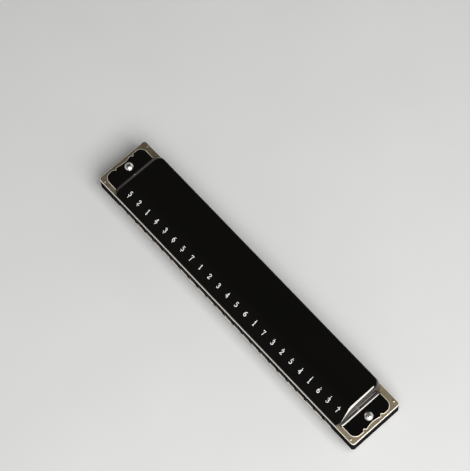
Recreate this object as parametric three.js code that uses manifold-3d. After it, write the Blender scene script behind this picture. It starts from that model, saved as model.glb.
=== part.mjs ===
// A tremolo harmonica with 24 columns of paired mouth holes and 48 reeds, in millimetres.
// X runs along the instrument from the low notes to the high notes, the mouth side faces -Y, and Z is up.
// The origin is below the middle of the body, on the surface that the lower cover stands on.

import * as THREE from "three";
import { mergeVertices } from "three/addons/utils/BufferGeometryUtils.js";
import Module from "manifold-3d";

const wasm = await Module();
wasm.setup();

// Overall body
const plateLength = 182;
const plateWidth = 30;
const plateThickness = 1;
const cornerRadius = 1.5;
const combHeight = 8.4;
const overrun = 1;

// Columns of mouth holes, each with an upper and a lower chamber
const columns = 24;
const endBlock = 14.2;
const divider = 2;
const septum = 1.8;
const backWall = 2.6;

// Reeds, which lie on the outer face of the plate on draw columns and on its inner face on blow columns
const frontRoot = 6;
const backRoot = 6.4;
const tipMargin = 1.2;
const shortestShare = 0.5;
const reedThickness = 0.22;
const padThickness = 0.4;
const padLength = 3;
const padSideClearance = 0.6;
const padShoulder = 0.5;
const reedLift = 0.15;
const slotClearance = 0.1;
const tipWeightThickness = 0.24;
const tipWeightShare = 0.24;
const weightedColumns = 8;
const rivetRadius = 0.5;
const rivetHeadRadius = 0.78;
const rivetHeadHeight = 0.3;
const rivetClearance = 0.2;

// Covers, drawn from sheet
const sheet = 0.5;
const coverRise = 5.6;
const frontInset = 0.4;
const rearInset = 0.9;
const lipHeight = 1.2;
const lipLean = 0.35;
const crownFront = 12.5;
const crownRear = 5;
const rearFall = 0.1;
const hemDrop = 0.7;
const wallBase = 10.4;
const wallInset = 2.4;
const shoulderDrop = 1.1;
const shoulderInset = 0.9;
const cornerCutLength = 2.6;
const cornerCutDepth = 2.2;
const browShares = [[0.12, 0.1], [0.7, 1]];

// Bracket-shaped flange at each end of a cover
const flangeHalfWidth = 12.2;
const flangeMargin = 1.4;
const lobeRadius = 3.8;
const cuspDepth = 1.1;
const cuspHalfGap = 0.9;
const lobeFlat = 2;
const bowDepth = 0.8;

// Through bolts and their nuts
const boltFromEnd = 5.5;
const boltRadius = 1;
const boltClearance = 0.2;
const threadClearance = 0.05;
const headRadius = 2.1;
const headHeight = 1.3;
const headEdge = 0.35;
const recessWidth = 0.6;
const recessLength = 2.5;
const recessDepth = 0.6;
const nutAcrossFlats = 4.2;
const nutHeight = 1.7;
const boltTail = 0.5;

// Facet counts
const cornerSteps = 4;
const holeSides = 10;
const rivetSides = 8;
const boltSides = 20;
const lobeSteps = 5;
const bowSteps = 3;
const browSteps = 5;
const domeSteps = 3;
const nutSides = 6;

// Sizes that follow from the ones above
const halfLength = plateLength / 2;
const halfWidth = plateWidth / 2;
const pitch = (plateLength - 2 * endBlock) / columns;
const chamberWidth = pitch - divider;
const chamberDepth = (combHeight - septum) / 2;
const padWidth = chamberWidth - 2 * padSideClearance;
const tongueWidth = padWidth - 2 * padShoulder;
const slotWidth = tongueWidth + 2 * slotClearance;
const frontRootY = -halfWidth + frontRoot;
const backRootY = halfWidth - backRoot;
const drawSpan = plateWidth - frontRoot - backWall - tipMargin;
const blowSpan = plateWidth - backRoot - backWall - tipMargin;
const longestReed = Math.min(drawSpan, blowSpan);
const shortestReed = shortestShare * longestReed;
const boltX = halfLength - boltFromEnd;
const cuspFromMiddle = flangeHalfWidth - lobeRadius - lobeFlat - cuspHalfGap;
const halfStack = combHeight / 2 + plateThickness;
const middleZ = coverRise + halfStack;

const materials = {
  cover: new THREE.MeshStandardMaterial({ color: 0x1c1a19, roughness: 0.08, metalness: 1 }),
  plate: new THREE.MeshStandardMaterial({ color: 0xb3a684, roughness: 0.4, metalness: 1 }),
  comb: new THREE.MeshStandardMaterial({ color: 0x0c0c0d, roughness: 0.3, metalness: 0 }),
  reed: new THREE.MeshStandardMaterial({ color: 0xc9a95c, roughness: 0.35, metalness: 1 }),
  fastener: new THREE.MeshStandardMaterial({ color: 0xd8d8d6, roughness: 0.15, metalness: 1 }),
};

// A closed three.js geometry as a solid
function solid(geometry) {
  const bare = geometry.clone();
  bare.deleteAttribute("normal");
  bare.deleteAttribute("uv");
  const merged = mergeVertices(bare);
  return new wasm.Manifold(
    new wasm.Mesh({
      numProp: 3,
      vertProperties: merged.attributes.position.array,
      triVerts: new Uint32Array(merged.index.array),
    }),
  );
}

// A solid as a three.js mesh with a name and a material
function meshOf(made, name, material) {
  const data = made.getMesh();
  const geometry = new THREE.BufferGeometry();
  geometry.setAttribute("position", new THREE.BufferAttribute(data.vertProperties, 3));
  geometry.setIndex(new THREE.BufferAttribute(data.triVerts, 1));
  geometry.computeVertexNormals();
  const mesh = new THREE.Mesh(geometry, material);
  mesh.name = name;
  return mesh;
}

// A box between two corners
function box(low, high) {
  const size = high.map((value, i) => value - low[i]);
  const centre = high.map((value, i) => (value + low[i]) / 2);
  return solid(new THREE.BoxGeometry(...size).translate(...centre));
}

// An upright cylinder between two heights
function cylinder(x, y, low, high, radius, sides) {
  const geometry = new THREE.CylinderGeometry(radius, radius, high - low, sides);
  geometry.rotateX(Math.PI / 2);
  geometry.translate(x, y, (low + high) / 2);
  return solid(geometry);
}

// An outline in X and Y, raised from one height to another
function prismZ(points, low, high) {
  const shape = new THREE.Shape(points.map(([x, y]) => new THREE.Vector2(x, y)));
  const geometry = new THREE.ExtrudeGeometry(shape, { depth: high - low, bevelEnabled: false });
  return solid(geometry.translate(0, 0, low));
}

// An outline in Y and Z, drawn out along X
function prismX(points, low, high) {
  const shape = new THREE.Shape(points.map(([y, z]) => new THREE.Vector2(y, z)));
  const geometry = new THREE.ExtrudeGeometry(shape, { depth: high - low, bevelEnabled: false });
  const turn = new THREE.Matrix4().makeBasis(
    new THREE.Vector3(0, 1, 0),
    new THREE.Vector3(0, 0, 1),
    new THREE.Vector3(1, 0, 0),
  );
  return solid(geometry.applyMatrix4(turn).translate(low, 0, 0));
}

// A solid through outlines at rising heights, each with the same number of points
function loft(levels) {
  const count = levels[0].points.length;
  const positions = levels.flatMap(({ points, z }) => points.flatMap(([x, y]) => [x, y, z]));
  const index = [];
  for (let level = 0; level + 1 < levels.length; level++) {
    for (let i = 0; i < count; i++) {
      const a = level * count + i;
      const b = level * count + ((i + 1) % count);
      index.push(a, b, b + count, a, b + count, a + count);
    }
  }
  const flat = levels[0].points.map(([x, y]) => new THREE.Vector2(x, y));
  const top = (levels.length - 1) * count;
  for (const [a, b, c] of THREE.ShapeUtils.triangulateShape(flat, [])) {
    index.push(a, c, b);
    index.push(top + a, top + b, top + c);
  }
  const geometry = new THREE.BufferGeometry();
  geometry.setAttribute("position", new THREE.Float32BufferAttribute(positions, 3));
  geometry.setIndex(index);
  return solid(geometry);
}

// The body's plan outline, a rectangle with rounded corners
function bodyOutline() {
  const points = [];
  const corners = [[1, -1, -90], [1, 1, 0], [-1, 1, 90], [-1, -1, 180]];
  for (const [sideX, sideY, start] of corners) {
    for (let step = 0; step <= cornerSteps; step++) {
      const angle = THREE.MathUtils.degToRad(start + (90 * step) / cornerSteps);
      points.push([
        sideX * (halfLength - cornerRadius) + cornerRadius * Math.cos(angle),
        sideY * (halfWidth - cornerRadius) + cornerRadius * Math.sin(angle),
      ]);
    }
  }
  return points;
}

// What a column of mouth holes holds, counted from the low notes
function columnAt(number) {
  const along = number / (columns - 1);
  const draws = number % 2 === 1;
  const length = longestReed * (shortestReed / longestReed) ** along;
  const rootY = draws ? frontRootY : backRootY;
  return {
    number,
    draws,
    length,
    rootY,
    x: (number - (columns - 1) / 2) * pitch,
    toTip: draws ? 1 : -1,
    weighted: number < weightedColumns,
  };
}

const columnList = Array.from({ length: columns }, (_, number) => columnAt(number));

// The comb, with a row of chambers open to the upper plate and a row open to the lower one
function makeComb() {
  let body = prismZ(bodyOutline(), -combHeight / 2, combHeight / 2);
  const floor = septum / 2;
  const roof = floor + chamberDepth + overrun;
  for (const { x } of columnList) {
    const low = x - chamberWidth / 2;
    const high = x + chamberWidth / 2;
    const front = -halfWidth - overrun;
    const back = halfWidth - backWall;
    body = body.subtract(box([low, front, floor], [high, back, roof]));
    body = body.subtract(box([low, front, -roof], [high, back, -floor]));
  }
  for (const side of [-1, 1]) {
    const reach = combHeight / 2 + overrun;
    const hole = cylinder(side * boltX, 0, -reach, reach, boltRadius + boltClearance, holeSides);
    body = body.subtract(hole);
  }
  return body;
}

// A reed plate with a slot under each tongue and a hole for each rivet, its inner face at height 0
function makePlate() {
  let plate = prismZ(bodyOutline(), 0, plateThickness);
  const low = -overrun;
  const high = plateThickness + overrun;
  for (const { x, rootY, toTip, length } of columnList) {
    const ends = [rootY, rootY + toTip * (length + slotClearance)];
    const front = Math.min(...ends);
    const back = Math.max(...ends);
    const half = slotWidth / 2;
    plate = plate.subtract(box([x - half, front, low], [x + half, back, high]));
    const rivetY = rootY - (toTip * padLength) / 2;
    const hole = cylinder(x, rivetY, low, high, rivetRadius + rivetClearance, rivetSides);
    plate = plate.subtract(hole);
  }
  for (const side of [-1, 1]) {
    const radius = boltRadius + boltClearance;
    plate = plate.subtract(cylinder(side * boltX, 0, low, high, radius, holeSides));
  }
  return plate;
}

// A reed with its pad and rivet, its root at the origin, its tongue along +Y and its lower face at height 0
function makeReed({ length, weighted }) {
  const tongue = [[-padLength, 0], [length, 0]];
  if (weighted) {
    const start = length * (1 - tipWeightShare);
    const top = reedThickness + tipWeightThickness;
    tongue.push([length, top], [start, top], [start - tipWeightThickness, reedThickness]);
  } else {
    tongue.push([length, reedThickness]);
  }
  tongue.push([0, reedThickness], [-padShoulder, padThickness], [-padLength, padThickness]);
  const reed = prismX(tongue, -tongueWidth / 2, tongueWidth / 2);
  const half = padWidth / 2;
  const pad = box([-half, -padLength, 0], [half, -padShoulder, padThickness]);
  const rivetY = -padLength / 2;
  const tail = reedLift + plateThickness;
  const shank = cylinder(0, rivetY, -tail, padThickness, rivetRadius, rivetSides);
  const headTop = padThickness + rivetHeadHeight;
  const head = cylinder(0, rivetY, padThickness / 2, headTop, rivetHeadRadius, rivetSides);
  return reed.add(pad).add(shank).add(head);
}

// The outside of a cover in Y and height, from its foot at the front to its rear edge
function coverProfile() {
  const front = -halfWidth + frontInset;
  const lip = front + lipLean;
  const crown = -halfWidth + crownFront;
  const rear = halfWidth - rearInset;
  const fall = halfWidth - crownRear;
  const run = crown - lip;
  const climb = coverRise - lipHeight;
  const [low, high] = browShares.map(([alongShare, upShare]) => {
    return new THREE.Vector2(lip + alongShare * run, lipHeight + upShare * climb);
  });
  const start = new THREE.Vector2(lip, lipHeight);
  const end = new THREE.Vector2(crown, coverRise);
  const brow = new THREE.CubicBezierCurve(start, low, high, end);
  const points = [[front, 0], ...brow.getPoints(browSteps).map(({ x, y }) => [x, y])];
  points.push([fall, coverRise], [rear, coverRise - rearFall]);
  return points;
}

// The same profile moved in by the sheet's thickness
function offsetProfile(points, distance) {
  const normals = points.slice(1).map(([y, z], i) => {
    const run = y - points[i][0];
    const climb = z - points[i][1];
    return new THREE.Vector2(climb, -run).normalize();
  });
  return points.map(([y, z], i) => {
    const before = normals[Math.max(i - 1, 0)];
    const after = normals[Math.min(i, normals.length - 1)];
    const middle = before.clone().add(after).normalize();
    const reach = distance / middle.dot(before);
    return [y + middle.x * reach, z + middle.y * reach];
  });
}

// The plan outline of a cover's shell, with its four corners cut off
function shellOutline(inset) {
  const end = halfLength - wallBase - inset;
  const side = halfWidth + overrun;
  const cutStart = halfWidth - cornerCutDepth - inset / 2;
  const spread = (cornerCutLength * (side - cutStart)) / cornerCutDepth;
  const quarter = [[end, cutStart], [end - spread, side]];
  return [
    [end - spread, -side],
    [end, -cutStart],
    ...quarter,
    ...quarter.map(([x, y]) => [-x, y]).reverse(),
    [-end, -cutStart],
    [-end + spread, -side],
  ];
}

// The room inside the sloping end walls, moved in by a wall's thickness along X
function shellRoom(inset) {
  const wallSlope = wallInset / coverRise;
  const shoulderSlope = shoulderInset / shoulderDrop;
  const shoulder = coverRise - shoulderDrop;
  const roof = coverRise + overrun;
  const shoulderLine = inset + wallSlope * shoulder;
  const roofLine = shoulderLine + shoulderSlope * (roof - shoulder);
  return loft([
    { z: -overrun, points: shellOutline(inset - wallSlope * overrun) },
    { z: shoulder, points: shellOutline(shoulderLine) },
    { z: roof, points: shellOutline(roofLine) },
  ]);
}

// The bracket-shaped outline of the flange on the right end
function flangeOutline() {
  const edge = halfLength - flangeMargin;
  const lobeX = edge - lobeRadius;
  const lobeY = flangeHalfWidth - lobeRadius;
  const half = [[halfLength - wallBase - wallInset, flangeHalfWidth]];
  for (let step = 0; step <= lobeSteps; step++) {
    const angle = (Math.PI / 2) * (1 - step / lobeSteps);
    half.push([lobeX + lobeRadius * Math.cos(angle), lobeY + lobeRadius * Math.sin(angle)]);
  }
  half.push([edge, cuspFromMiddle + cuspHalfGap]);
  half.push([edge - cuspDepth, cuspFromMiddle]);
  const bowStart = cuspFromMiddle - cuspHalfGap;
  for (let step = 0; step < bowSteps; step++) {
    const along = step / bowSteps;
    half.push([edge - bowDepth * Math.sin((Math.PI / 2) * along), bowStart * (1 - along)]);
  }
  const middle = [edge - bowDepth, 0];
  const mirrored = half.map(([x, y]) => [x, -y]).reverse();
  return [...half, middle, ...mirrored].reverse();
}

// A cover with its foot and flanges at height 0, open underneath and along the back
function makeCover() {
  const outside = coverProfile();
  const inside = offsetProfile(outside, sheet);
  const rear = outside[outside.length - 1];
  const reach = halfLength;
  const outer = prismX([...outside, [rear[0], 0]], -reach, reach).intersect(shellRoom(0));
  const hemInner = rear[0] - sheet;
  const under = rear[1] - hemDrop;
  const footInner = inside[0][0];
  const hollow = [
    [footInner, -overrun],
    [footInner, 0],
    ...inside.slice(1, -1),
    [hemInner, inside[inside.length - 1][1]],
    [hemInner, under],
    [rear[0] + overrun, under],
    [rear[0] + overrun, -overrun],
  ];
  const wall = sheet / Math.sin(Math.atan2(coverRise, wallInset));
  const room = shellRoom(wall);
  let cover = outer.subtract(prismX(hollow, -reach, reach).intersect(room));
  for (const side of [-1, 1]) {
    const outline = flangeOutline().map(([x, y]) => [side * x, y]);
    const points = side === 1 ? outline : outline.reverse();
    const flange = prismZ(points, 0, sheet).subtract(room);
    cover = cover.add(flange);
    const radius = boltRadius + boltClearance;
    const hole = cylinder(side * boltX, 0, -overrun, sheet + overrun, radius, holeSides);
    cover = cover.subtract(hole);
  }
  return cover;
}

// A domed bolt with a cross recess, the underside of its head at height 0
function makeBolt() {
  const length = 2 * (halfStack + sheet) + nutHeight + boltTail;
  const profile = [[0, -length], [boltRadius, -length], [boltRadius, 0], [headRadius, 0]];
  for (let step = 0; step < domeSteps; step++) {
    const angle = (Math.PI / 2) * (step / domeSteps);
    const rise = (headHeight - headEdge) * Math.sin(angle);
    profile.push([headRadius * Math.cos(angle), headEdge + rise]);
  }
  profile.push([0, headHeight]);
  const points = profile.map(([radius, z]) => new THREE.Vector2(radius, z));
  const geometry = new THREE.LatheGeometry(points, boltSides);
  let bolt = solid(geometry.rotateX(Math.PI / 2));
  const long = recessLength / 2;
  const short = recessWidth / 2;
  const floor = headHeight - recessDepth;
  const roof = headHeight + overrun;
  bolt = bolt.subtract(box([-long, -short, floor], [long, short, roof]));
  bolt = bolt.subtract(box([-short, -long, floor], [short, long, roof]));
  return bolt;
}

// A hexagon nut with its top face at height 0
function makeNut() {
  const radius = nutAcrossFlats / 2 / Math.cos(Math.PI / nutSides);
  const nut = cylinder(0, 0, -nutHeight, 0, radius, nutSides);
  const bore = boltRadius + threadClearance;
  return nut.subtract(cylinder(0, 0, -nutHeight - overrun, overrun, bore, boltSides));
}

function numbered(number) {
  return String(number + 1).padStart(2, "0");
}

// One half of the instrument above the comb's middle plane: plate, reeds and cover
function makeHalf(name) {
  const half = new THREE.Group();
  const plate = meshOf(makePlate(), name + "_reed_plate", materials.plate);
  plate.position.z = combHeight / 2;
  half.add(plate);
  for (const column of columnList) {
    const kind = column.draws ? "draw" : "blow";
    const reedName = name + "_" + kind + "_reed_" + numbered(column.number);
    const reed = meshOf(makeReed(column), reedName, materials.reed);
    const outer = combHeight / 2 + plateThickness + reedLift;
    const inner = combHeight / 2 - reedLift;
    reed.position.set(column.x, column.rootY, column.draws ? outer : inner);
    reed.rotation.x = column.draws ? 0 : Math.PI;
    half.add(reed);
  }
  const cover = meshOf(makeCover(), name + "_cover", materials.cover);
  cover.position.z = halfStack;
  half.add(cover);
  return half;
}

const harmonica = new THREE.Group();
harmonica.position.z = middleZ;
harmonica.add(meshOf(makeComb(), "comb", materials.comb));
harmonica.add(makeHalf("upper"));
const lowerHalf = makeHalf("lower");
lowerHalf.scale.z = -1;
harmonica.add(lowerHalf);

for (const [name, side] of [["left", -1], ["right", 1]]) {
  const bolt = meshOf(makeBolt(), name + "_bolt", materials.fastener);
  bolt.position.set(side * boltX, 0, halfStack + sheet);
  harmonica.add(bolt);
  const nut = meshOf(makeNut(), name + "_nut", materials.fastener);
  nut.position.set(side * boltX, 0, -halfStack - sheet);
  harmonica.add(nut);
}

export default harmonica;
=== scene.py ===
# A tremolo harmonica with black mirror covers over brass plates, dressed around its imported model
# Lengths are in millimetres until a mesh is made, and heights on a cover count from the plate under it

import math

import bmesh
import bpy
from mathutils import Matrix, Vector


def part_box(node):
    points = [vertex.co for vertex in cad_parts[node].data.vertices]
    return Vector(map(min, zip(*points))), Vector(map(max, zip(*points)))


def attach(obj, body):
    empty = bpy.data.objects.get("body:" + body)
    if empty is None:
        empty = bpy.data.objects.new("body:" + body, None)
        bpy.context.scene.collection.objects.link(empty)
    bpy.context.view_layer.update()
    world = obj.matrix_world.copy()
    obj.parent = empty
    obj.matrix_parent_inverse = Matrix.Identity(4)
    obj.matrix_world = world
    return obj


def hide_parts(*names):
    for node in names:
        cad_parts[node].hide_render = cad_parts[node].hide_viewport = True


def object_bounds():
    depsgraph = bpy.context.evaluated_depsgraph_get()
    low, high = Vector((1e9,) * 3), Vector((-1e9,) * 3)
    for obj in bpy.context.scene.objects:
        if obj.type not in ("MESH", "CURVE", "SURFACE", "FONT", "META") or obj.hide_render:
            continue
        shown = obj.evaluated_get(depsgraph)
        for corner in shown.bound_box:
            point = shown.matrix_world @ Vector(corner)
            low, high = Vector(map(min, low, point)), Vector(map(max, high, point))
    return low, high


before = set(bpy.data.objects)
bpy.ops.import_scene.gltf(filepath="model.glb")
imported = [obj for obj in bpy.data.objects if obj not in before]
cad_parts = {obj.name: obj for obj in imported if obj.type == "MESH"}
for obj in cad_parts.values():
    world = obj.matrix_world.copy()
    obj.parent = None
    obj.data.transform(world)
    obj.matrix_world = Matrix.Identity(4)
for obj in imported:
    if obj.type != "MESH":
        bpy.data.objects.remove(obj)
cad_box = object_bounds()

MM = 0.001
MAIN_BODY = "harmonica"

# Mesh work, with angles in degrees
WELD = 0.0005
CUT_WELD = 0.001
CURVE_WELD = 0.002
FLAT_LIMIT = 0.001
FLAT_ANGLE = 0.5
PRINT_SMOOTHING = 35
METAL_SMOOTHING = 38
NUT_SMOOTHING = 30
BLOCK_SMOOTHING = 50
NORMAL_WEIGHT = 80

# The part of a noise's range that holds nearly all its values
NOISE_LOW = 0.3
NOISE_HIGH = 0.7

# Camera, from the plate's corners in the photograph
CAMERA_PLACE = (282.6, -207.2, 1019.7)
CAMERA_TARGET = (-23.85, 14.2, 16.0)
CAMERA_ROLL = -6.41
CAMERA_LENS = 170.65
SENSOR_WIDTH = 36.0
CAMERA_REACH = 20000

# Sheet metal of the covers
SHEET = 0.5
LIP_HEIGHT = 1.0
LIP_LEAN = 0.08
FRONT_INSET = 0.2
CROWN_FRONT = 12.5
CROWN_REAR = 5.0
REAR_INSET = 0.9
REAR_FALL = 0.1
HEM_DROP = 0.7
LIP_ROUND = 0.1
REAR_ROUND = 0.55
BROW_SHARES = ((0.12, 0.1), (0.7, 1.0))
BROW_STEPS = 400
EDGE_STEPS = 7

# Rows of points across a cover, with closer ones where its end walls curve towards the back
ROW_START = 0.25
ROW_STEP = 0.4
ROW_GAP = 0.3
FLAT_ROWS = (0, 5, 11, 12, 12.3, 12.6, 12.9, 13.2)

# End walls of the covers
WALL_BASE = 10.7
WALL_INSET = 1.3
WALL_STEPS = 3
SHOULDER_RADIUS = 2.6
SHOULDER_STEPS = 12
LOW_SHOULDER_SHARE = 0.45
LEAST_SHOULDER_SHARE = 0.1
FRONT_CUT_START = 12.9
FRONT_CUT_SLOPE = 0.85
BACK_CUT_START = 12.6
BACK_CUT_SLOPE = 1.5
CORNER_SOFTNESS = 0.7
BEND_RADIUS = 1.4
BEND_STEPS = 7
BEND_SINK = 0.02

# Bracket-shaped flange
FLANGE_HALF_WIDTH = 12.2
FLANGE_SHIFT = -0.5
FLANGE_MARGIN = 1.4
FLANGE_OVERLAP = 0.8
FLANGE_EDGE_ROUND = 0.24
LOBE_RADIUS = 3.8
LOBE_STEPS = 16
CUSP_DEPTH = 1.1
CUSP_HALF_GAP = 0.9
CUSP_FROM_MIDDLE = 5.5
CUSP_SOFTENING = 0.5
CUSP_TIP_SHARE = 0.8
CUSP_FOOT_SHARE = 0.4
CUSP_STEPS = 5
CUSP_TIP_STEPS = 4
BOW_DEPTH = 0.8
BOW_LEAN = 0.1
BOW_STEPS = 12

# Numbers, each with its octave, from the low notes to the high ones
NUMBER_ROW_Y = -9.36
NUMBER_SHIFT = 0.5
DIGIT_HEIGHT = 2.35
STROKE_BOLDNESS = 1.25
STROKE_STEPS = 6
STROKE_TIP_SHARE = 0.8
PRINT_THICKNESS = 0.03
PRINT_ROOT = 0.03
PRINT_LAYER = 0.004
DOT_RADIUS = 0.2
DOT_GAP = 0.42
DOT_STEP = 0.55
DOT_SECTIONS = 9
NUMBERS = (
    (5, -2), (2, -1), (1, -1), (4, -1), (3, -1), (6, -1), (5, -1), (7, -1),
    (1, 0), (2, 0), (3, 0), (4, 0), (5, 0), (6, 0), (1, 1), (7, 0),
    (3, 1), (2, 1), (5, 1), (4, 1), (1, 2), (6, 1), (3, 2), (7, 1),
)
COLUMNS = len(NUMBERS)
END_BLOCK = 14.2

# Plates
PLATE_CORNER_RADIUS = 1.5
PLATE_CORNER_STEPS = 12
PLATE_EDGE_ROUND = 0.25
SLOT_CLEARANCE = 0.1

# Reeds, whose tongues are given by places along them and thicknesses there, as shares
PAD_LENGTH = 3.0
PAD_THICKNESS = 0.4
PAD_SHOULDER = 0.5
PAD_EDGE = 0.05
REED_THICKNESS = 0.22
REED_WAIST_SHARE = 0.7
REED_EDGE = 0.03
REED_LIFT = 0.15
TONGUE_UNDER_PAD = 1.0
TONGUE_SHAPE = ((0, 1), (0.12, 0.79), (0.45, REED_WAIST_SHARE))
TONGUE_TIP = ((0.8, 0.95), (1, 1))
TIP_WEIGHT = 0.24
TIP_WEIGHT_SHARE = 0.24
WEIGHTED_COLUMNS = 8

# Rivets
RIVET_RADIUS = 0.5
RIVET_CLEARANCE = 0.2
RIVET_HOLE_SIDES = 20
RIVET_TAIL_EDGE = 0.1
RIVET_HEAD_RADIUS = 0.78
RIVET_HEAD_HEIGHT = 0.3
RIVET_RIM = 0.06
RIVET_STEPS = 5
RIVET_SIDES = 16

# Screws, with their turns in degrees, and nuts, which are turned half as far
BOLT_FROM_END = 5.5
BOLT_RADIUS = 1.0
BOLT_SIDES = 40
BOLT_HOLE_RADIUS = 1.2
BOLT_HOLE_SIDES = 32
BOLT_TAIL_EDGE = 0.25
BOLT_TAIL_HEIGHT = 0.2
HEAD_RADIUS = 2.1
HEAD_HEIGHT = 1.3
HEAD_EDGE = 0.35
HEAD_RIM = 0.08
HEAD_STEPS = 13
RECESS_REACH = 1.2
RECESS_HALF = 0.32
RECESS_DEPTH = 0.75
RECESS_FLOOR_SHARE = 0.75
RECESS_TAPER = 0.06
THREAD_PITCH = 0.4
THREAD_DEPTH = 0.2
THREAD_LENGTH = 4.0
THREAD_START = 0.25
THREAD_RINGS = 6
NUT_ACROSS_FLATS = 4.2
NUT_HEIGHT = 1.7
NUT_BORE = 1.05
NUT_COUNTERSINK = 0.2
NUT_CHAMFER = 0.06
NUT_CHAMFER_SLOPE = 0.6
NUT_SIDES = 48
SCREWS = (("left", -1, 20), ("right", 1, 52))

# Nails
NAIL_RADIUS = 0.65
NAIL_HEIGHT = 0.2
NAIL_SINK = 0.4
NAIL_STEPS = 6
NAIL_SIDES = 20
CORNER_NAIL_X = 3.1
CORNER_NAIL_Y = 1.3
NAIL_EVERY = 4
NAIL_FRONT_Y = -13.1
NAIL_BACK_Y = 13.3

# Comb
COMB_EDGE = 0.15
HOLE_EDGE = 0.12
HOLE_EDGE_STEPS = 2
HOLE_EDGE_ANGLE = 50
CHAMBER_WIDTH = 4.4
CHAMBER_HEIGHT = 3.3
BACK_WALL = 2.6

# Floor
FLOOR_REACH = 4000
FLOOR_GAP = 0.1
FLOOR_MOTTLE = 60

# Lamp, with angles in degrees and brightness as radiance
LAMP_DIRECTION = -12
LAMP_ELEVATION = 58
LAMP_DISTANCE = 950
LAMP_WIDTH = 700
LAMP_HEIGHT = 750
LAMP_RADIANCE = 7.3

# World, with its brightness against the height of a direction, and the band where its left side dims
WORLD_LEVELS = ((0.0, 0.75), (0.2, 0.8), (0.45, 0.6), (0.62, 0.05), (1.0, 0.03))
WORLD_TINT = (1, 0.985, 0.97)
WORLD_DIM_BAND = (-0.9, -0.2)
WORLD_LEFT_SHARE = 0.4

plate_low, plate_high = (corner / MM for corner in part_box("upper_reed_plate"))
comb_low, comb_high = (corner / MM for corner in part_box("comb"))
cover_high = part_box("upper_cover")[1] / MM
HALF_LENGTH = plate_high.x
HALF_WIDTH = plate_high.y
PLATE_TOP = plate_high.z
PLATE_THICKNESS = plate_high.z - plate_low.z
COVER_RISE = cover_high.z - plate_high.z
MIDDLE_Z = (cad_box[0].z + cad_box[1].z) / 2 / MM
PITCH = 2 * (HALF_LENGTH - END_BLOCK) / COLUMNS
BOLT_X = HALF_LENGTH - BOLT_FROM_END
BOLT_LENGTH = PLATE_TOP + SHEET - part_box("left_bolt")[0].z / MM
WALL_SLOPE = WALL_INSET / COVER_RISE
WALL_ANGLE = math.atan(WALL_SLOPE)
RIM_MIDDLE_SHARE = 1 - math.sqrt(0.5)


# Small helpers

def new_object(name, mesh, materials):
    obj = bpy.data.objects.new(name, mesh)
    bpy.context.scene.collection.objects.link(obj)
    for material in materials:
        mesh.materials.append(material)
    return obj


def mesh_from(name, points, faces):
    mesh = bpy.data.meshes.new(name)
    mesh.from_pydata([Vector(point) * MM for point in points], [], faces)
    mesh.update()
    return mesh


def solid(name, shape, finish):
    """An object of one finish from a pair of points and faces."""
    return new_object(name, mesh_from(name, *shape), [finish])


def smooth(mesh, degrees):
    mesh.polygons.foreach_set("use_smooth", [True] * len(mesh.polygons))
    mesh.set_sharp_from_angle(angle=math.radians(degrees))
    mesh.update()


def clean(mesh, gap=WELD):
    """Closes gaps, removes edges and faces without size, and turns all faces outwards."""
    work = bmesh.new()
    work.from_mesh(mesh)
    bmesh.ops.remove_doubles(work, verts=work.verts, dist=gap * MM)
    bmesh.ops.dissolve_degenerate(work, edges=work.edges, dist=gap * MM)
    bmesh.ops.recalc_face_normals(work, faces=work.faces)
    work.to_mesh(mesh)
    work.free()
    mesh.update()


def evaluated_mesh(obj):
    graph = bpy.context.evaluated_depsgraph_get()
    return bpy.data.meshes.new_from_object(obj.evaluated_get(graph))


def apply_modifiers(obj, add):
    add(obj)
    mesh = evaluated_mesh(obj)
    obj.modifiers.clear()
    obj.data = mesh


def boolean(obj, cutter, operation):
    """Joins, cuts or keeps what two bodies share, and removes the second."""
    modifier = obj.modifiers.new("cut", "BOOLEAN")
    modifier.solver = "EXACT"
    modifier.operation = operation
    modifier.object = cutter
    modifier.material_mode = "TRANSFER"
    mesh = evaluated_mesh(obj)
    obj.modifiers.remove(modifier)
    obj.data = mesh
    bpy.data.objects.remove(cutter)


def steady_normals(obj):
    """Large flat faces keep their own normals beside narrow rounded edges."""
    modifier = obj.modifiers.new("normals", "WEIGHTED_NORMAL")
    modifier.keep_sharp = True
    modifier.weight = NORMAL_WEIGHT


def merged(parts):
    """One pair of points and faces from several."""
    points = []
    faces = []
    for more_points, more_faces in parts:
        start = len(points)
        points += more_points
        faces += [[start + i for i in face] for face in more_faces]
    return points, faces


def circle(x, y, radius, sides):
    turns = [2 * math.pi * side / sides for side in range(sides)]
    return [(x + radius * math.cos(turn), y + radius * math.sin(turn)) for turn in turns]


def rounded_corner(before, corner, after, steps):
    """A curve that leaves one line and meets the next without a corner."""
    points = []
    for step in range(steps + 1):
        t = step / steps
        points.append(before * (1 - t) ** 2 + corner * 2 * t * (1 - t) + after * t * t)
    return points


def capped(low_ring, high_ring):
    """A closed body between two rings of as many points, which go round against the clock."""
    count = len(low_ring)
    faces = [[i, (i + 1) % count, count + (i + 1) % count, count + i] for i in range(count)]
    faces.append(list(range(count))[::-1])
    faces.append([count + i for i in range(count)])
    return low_ring + high_ring, faces


def prism(outline, low, high):
    return capped([(x, y, low) for x, y in outline], [(x, y, high) for x, y in outline])


def lathe(profile, sides):
    """A closed body round the Z axis.

    The profile's points are radius and height, from one end of the axis to the other.
    """
    points = []
    rings = []
    for radius, z in profile:
        start = len(points)
        if radius == 0:
            points.append((0, 0, z))
            rings.append([start] * sides)
            continue
        for side in range(sides):
            angle = 2 * math.pi * side / sides
            points.append((radius * math.cos(angle), radius * math.sin(angle), z))
        rings.append([start + side for side in range(sides)])
    faces = []
    for low, high in zip(rings, rings[1:]):
        for side in range(sides):
            after = (side + 1) % sides
            corners = [low[side], low[after], high[after], high[side]]
            face = list(dict.fromkeys(corners))
            if len(face) > 2:
                faces.append(face)
    return points, faces


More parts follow.
